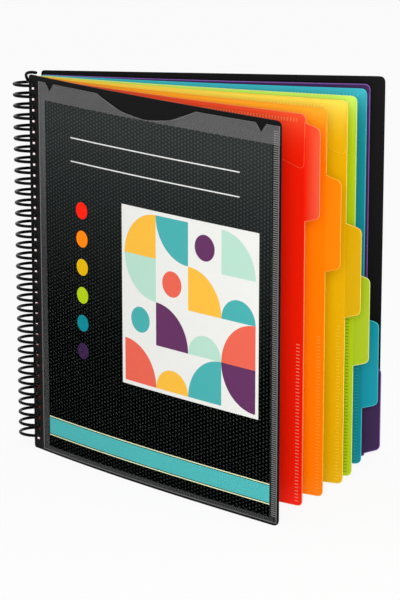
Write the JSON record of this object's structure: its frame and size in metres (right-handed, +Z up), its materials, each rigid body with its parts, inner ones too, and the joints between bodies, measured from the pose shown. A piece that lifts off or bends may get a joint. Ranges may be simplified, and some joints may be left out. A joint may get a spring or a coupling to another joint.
{
  "type": "project organizer folder",
  "caption": "Coil-bound organizer standing fanned open: black plastic covers, tinted pocket dividers with stepped tabs and corner flaps, clear cover pocket with card, zip pouch.",
  "frame": {"origin": "middle of the fanned footprint, on the surface that the covers stand on", "axes": "+Z up along the coil, +X along the back cover away from the coil, -Y towards the side the front cover opens to"},
  "size_m": [0.2858, 0.1918, 0.298],
  "materials": {
    "cover_black": "fine satin polypropylene sheet",
    "coil_black": "glossy extruded filament",
    "clear_film": "clear glossy film",
    "printed_card": "printed card",
    "tint_red": "translucent tinted sheet",
    "tint_orange": "translucent tinted sheet",
    "tint_yellow": "translucent tinted sheet",
    "tint_lime": "translucent tinted sheet",
    "tint_teal": "translucent tinted sheet",
    "tint_purple": "translucent tinted sheet",
    "zip_cloth": "woven tape",
    "zip_nylon": "nylon teeth",
    "zip_metal": "grey die-cast metal"
  },
  "bodies": {
    "back_cover": {"back_cover": "cover_black"},
    "coil": {"binding_coil": "coil_black"},
    "pouch": {"pouch_back": "clear_film", "pouch_front": "clear_film", "zip_tape": "zip_cloth", "zip_teeth": "zip_nylon", "zip_inner_stop": "zip_metal", "zip_outer_stop": "zip_metal"},
    "zip_slider": {"zip_slider": "zip_metal"},
    "zip_pull": {"zip_pull": "zip_metal"},
    "purple": {"purple_divider": "tint_purple", "purple_front_pocket": "tint_purple", "purple_back_pocket": "tint_purple"},
    "purple_flap": {"purple_flap": "tint_purple"},
    "teal": {"teal_divider": "tint_teal", "teal_front_pocket": "tint_teal", "teal_back_pocket": "tint_teal"},
    "teal_flap": {"teal_flap": "tint_teal"},
    "lime": {"lime_divider": "tint_lime", "lime_front_pocket": "tint_lime", "lime_back_pocket": "tint_lime"},
    "lime_flap": {"lime_flap": "tint_lime"},
    "yellow": {"yellow_divider": "tint_yellow", "yellow_front_pocket": "tint_yellow", "yellow_back_pocket": "tint_yellow"},
    "yellow_flap": {"yellow_flap": "tint_yellow"},
    "orange": {"orange_divider": "tint_orange", "orange_front_pocket": "tint_orange", "orange_back_pocket": "tint_orange"},
    "orange_flap": {"orange_flap": "tint_orange"},
    "red": {"red_divider": "tint_red", "red_front_pocket": "tint_red", "red_back_pocket": "tint_red"},
    "red_flap": {"red_flap": "tint_red"},
    "front_cover": {"front_cover": "cover_black", "cover_overlay": "clear_film"},
    "insert": {"insert_card": "printed_card"}
  },
  "joints": [
    {"name": "coil_turn", "type": "hinge", "parent": "back_cover", "child": "coil", "pos_m": [-0.12861, 0.08148, 0.149], "axis": [0, 0, -1], "range_deg": [-3, 3]},
    {"name": "pouch_turn", "type": "hinge", "parent": "back_cover", "child": "pouch", "pos_m": [-0.12861, 0.08148, 0.149], "axis": [0, 0, -1], "range_deg": [-1.6, 180]},
    {"name": "purple_turn", "type": "hinge", "parent": "pouch", "child": "purple", "pos_m": [-0.12861, 0.08148, 0.149], "axis": [0, 0, -1], "range_deg": [-1.9, 180]},
    {"name": "teal_turn", "type": "hinge", "parent": "purple", "child": "teal", "pos_m": [-0.12861, 0.08148, 0.149], "axis": [0, 0, -1], "range_deg": [-4, 180]},
    {"name": "lime_turn", "type": "hinge", "parent": "teal", "child": "lime", "pos_m": [-0.12861, 0.08148, 0.149], "axis": [0, 0, -1], "range_deg": [-6.5, 180]},
    {"name": "yellow_turn", "type": "hinge", "parent": "lime", "child": "yellow", "pos_m": [-0.12861, 0.08148, 0.149], "axis": [0, 0, -1], "range_deg": [-4, 180]},
    {"name": "orange_turn", "type": "hinge", "parent": "yellow", "child": "orange", "pos_m": [-0.12861, 0.08148, 0.149], "axis": [0, 0, -1], "range_deg": [-7.1, 180]},
    {"name": "red_turn", "type": "hinge", "parent": "orange", "child": "red", "pos_m": [-0.12861, 0.08148, 0.149], "axis": [0, 0, -1], "range_deg": [-5.6, 180]},
    {"name": "front_cover_turn", "type": "hinge", "parent": "red", "child": "front_cover", "pos_m": [-0.12861, 0.08148, 0.149], "axis": [0, 0, -1], "range_deg": [-8.5, 180]},
    {"name": "insert_slide", "type": "slide", "parent": "front_cover", "child": "insert", "axis": [0, 0, 1], "range_m": [0, 0.28]},
    {"name": "red_flap_lift", "type": "hinge", "parent": "red", "child": "red_flap", "pos_m": [0.04491, -0.02957, 0.294], "axis": [-0.8599, 0.5105, 0], "range_deg": [0, 20]},
    {"name": "orange_flap_lift", "type": "hinge", "parent": "orange", "child": "orange_flap", "pos_m": [0.05623, -0.01095, 0.294], "axis": [-0.9056, 0.4242, 0], "range_deg": [0, 20]},
    {"name": "yellow_flap_lift", "type": "hinge", "parent": "yellow", "child": "yellow_flap", "pos_m": [0.06718, 0.01398, 0.294], "axis": [-0.9511, 0.309, 0], "range_deg": [0, 20]},
    {"name": "lime_flap_lift", "type": "hinge", "parent": "lime", "child": "lime_flap", "pos_m": [0.07205, 0.02929, 0.294], "axis": [-0.9703, 0.2419, 0], "range_deg": [0, 20]},
    {"name": "teal_flap_lift", "type": "hinge", "parent": "teal", "child": "teal_flap", "pos_m": [0.07695, 0.05392, 0.294], "axis": [-0.9914, 0.1305, 0], "range_deg": [0, 20]},
    {"name": "purple_flap_lift", "type": "hinge", "parent": "purple", "child": "purple_flap", "pos_m": [0.07835, 0.06993, 0.294], "axis": [-0.9981, 0.061, 0], "range_deg": [0, 20]},
    {"name": "zip_slide", "type": "slide", "parent": "pouch", "child": "zip_slider", "axis": [-0.9996, 0.0279, 0], "range_m": [0, 0.18]},
    {"name": "zip_pull_swing", "type": "hinge", "parent": "zip_slider", "child": "zip_pull", "pos_m": [0.09493, 0.07824, 0.259], "axis": [-0.0279, -0.9996, 0], "range_deg": [-70, 70]}
  ]
}
